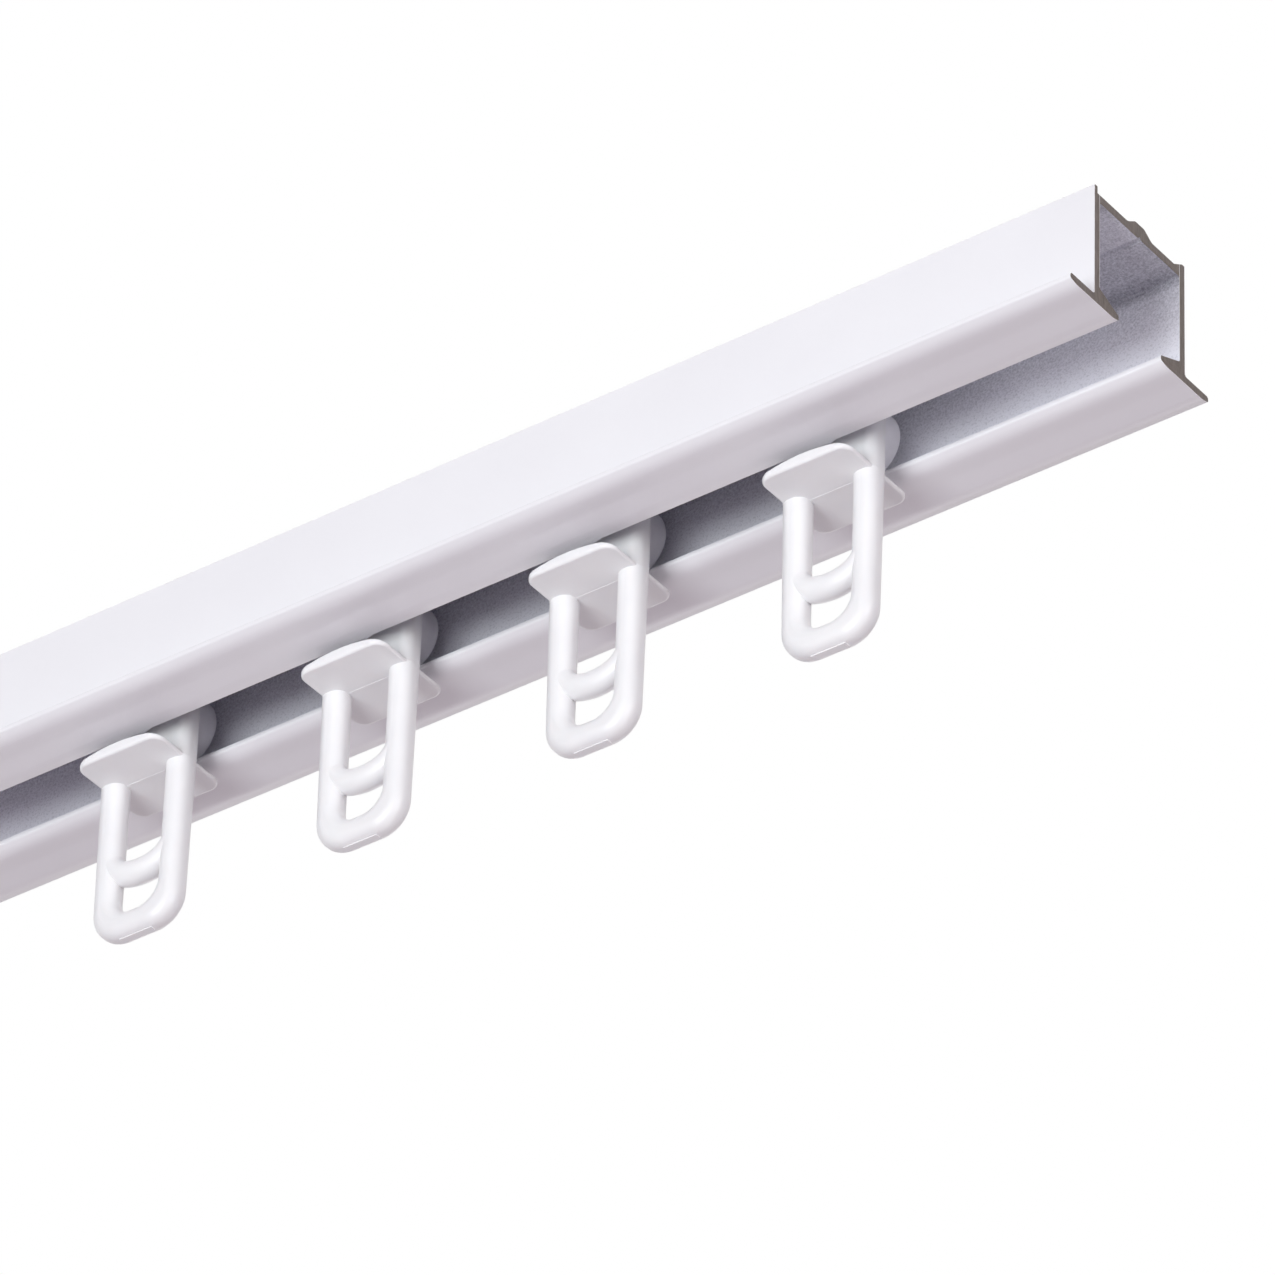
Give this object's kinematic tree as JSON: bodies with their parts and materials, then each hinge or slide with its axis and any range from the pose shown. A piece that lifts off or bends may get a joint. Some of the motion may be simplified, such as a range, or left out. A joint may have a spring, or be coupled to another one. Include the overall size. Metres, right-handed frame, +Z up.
{
  "type": "curtain track",
  "caption": "Short length of ceiling curtain track: a slotted metal channel with wheeled plastic gliders that roll inside it and carry curtain hooks.",
  "frame": {"origin": "middle of the face that lies against the ceiling, on top of the ridge; the track hangs below it", "axes": "+X along the track, glider 1 being nearest the +X end; +Y across the track, to the back in the picture; +Z up, out of the ceiling face"},
  "size_m": [0.162, 0.0242, 0.0375],
  "materials": {
    "track_metal": "smooth white paint outside, plain silver grey metal inside the channel and on the sawn ends",
    "glider_plastic": "white moulded plastic with a soft sheen",
    "wheel_plastic": "natural milky plastic, slightly see-through",
    "pin_steel": "plain drawn steel"
  },
  "bodies": {
    "track": {"track": "track_metal"},
    "carriage_1": {"axle_pin_1": "pin_steel"},
    "glider_1": {"glider_body_1": "glider_plastic"},
    "front_roller_1": {"front_wheel_1": "wheel_plastic"},
    "back_roller_1": {"back_wheel_1": "wheel_plastic"},
    "carriage_2": {"axle_pin_2": "pin_steel"},
    "glider_2": {"glider_body_2": "glider_plastic"},
    "front_roller_2": {"front_wheel_2": "wheel_plastic"},
    "back_roller_2": {"back_wheel_2": "wheel_plastic"},
    "carriage_3": {"axle_pin_3": "pin_steel"},
    "glider_3": {"glider_body_3": "glider_plastic"},
    "front_roller_3": {"front_wheel_3": "wheel_plastic"},
    "back_roller_3": {"back_wheel_3": "wheel_plastic"},
    "carriage_4": {"axle_pin_4": "pin_steel"},
    "glider_4": {"glider_body_4": "glider_plastic"},
    "front_roller_4": {"front_wheel_4": "wheel_plastic"},
    "back_roller_4": {"back_wheel_4": "wheel_plastic"}
  },
  "joints": [
    {"name": "glide_1", "type": "slide", "parent": "track", "child": "carriage_1", "axis": [1, 0, 0], "range_m": [-0.0172, 0.0305]},
    {"name": "swing_1", "type": "hinge", "parent": "carriage_1", "child": "glider_1", "pos_m": [0.04395, 0, -0.00899], "axis": [0, 1, 0], "range_deg": [-17, 17]},
    {"name": "front_spin_1", "type": "hinge", "parent": "carriage_1", "child": "front_roller_1", "pos_m": [0.04395, 0, -0.00899], "axis": [0, 1, 0], "continuous": true},
    {"name": "back_spin_1", "type": "hinge", "parent": "carriage_1", "child": "back_roller_1", "pos_m": [0.04395, 0, -0.00899], "axis": [0, 1, 0], "continuous": true},
    {"name": "glide_2", "type": "slide", "parent": "track", "child": "carriage_2", "axis": [1, 0, 0], "range_m": [-0.0172, 0.0172]},
    {"name": "swing_2", "type": "hinge", "parent": "carriage_2", "child": "glider_2", "pos_m": [0.01465, 0, -0.00899], "axis": [0, 1, 0], "range_deg": [-17, 17]},
    {"name": "front_spin_2", "type": "hinge", "parent": "carriage_2", "child": "front_roller_2", "pos_m": [0.01465, 0, -0.00899], "axis": [0, 1, 0], "continuous": true},
    {"name": "back_spin_2", "type": "hinge", "parent": "carriage_2", "child": "back_roller_2", "pos_m": [0.01465, 0, -0.00899], "axis": [0, 1, 0], "continuous": true},
    {"name": "glide_3", "type": "slide", "parent": "track", "child": "carriage_3", "axis": [1, 0, 0], "range_m": [-0.0172, 0.0172]},
    {"name": "swing_3", "type": "hinge", "parent": "carriage_3", "child": "glider_3", "pos_m": [-0.01465, 0, -0.00899], "axis": [0, 1, 0], "range_deg": [-17, 17]},
    {"name": "front_spin_3", "type": "hinge", "parent": "carriage_3", "child": "front_roller_3", "pos_m": [-0.01465, 0, -0.00899], "axis": [0, 1, 0], "continuous": true},
    {"name": "back_spin_3", "type": "hinge", "parent": "carriage_3", "child": "back_roller_3", "pos_m": [-0.01465, 0, -0.00899], "axis": [0, 1, 0], "continuous": true},
    {"name": "glide_4", "type": "slide", "parent": "track", "child": "carriage_4", "axis": [1, 0, 0], "range_m": [-0.0305, 0.0172]},
    {"name": "swing_4", "type": "hinge", "parent": "carriage_4", "child": "glider_4", "pos_m": [-0.04395, 0, -0.00899], "axis": [0, 1, 0], "range_deg": [-17, 17]},
    {"name": "front_spin_4", "type": "hinge", "parent": "carriage_4", "child": "front_roller_4", "pos_m": [-0.04395, 0, -0.00899], "axis": [0, 1, 0], "continuous": true},
    {"name": "back_spin_4", "type": "hinge", "parent": "carriage_4", "child": "back_roller_4", "pos_m": [-0.04395, 0, -0.00899], "axis": [0, 1, 0], "continuous": true}
  ]
}
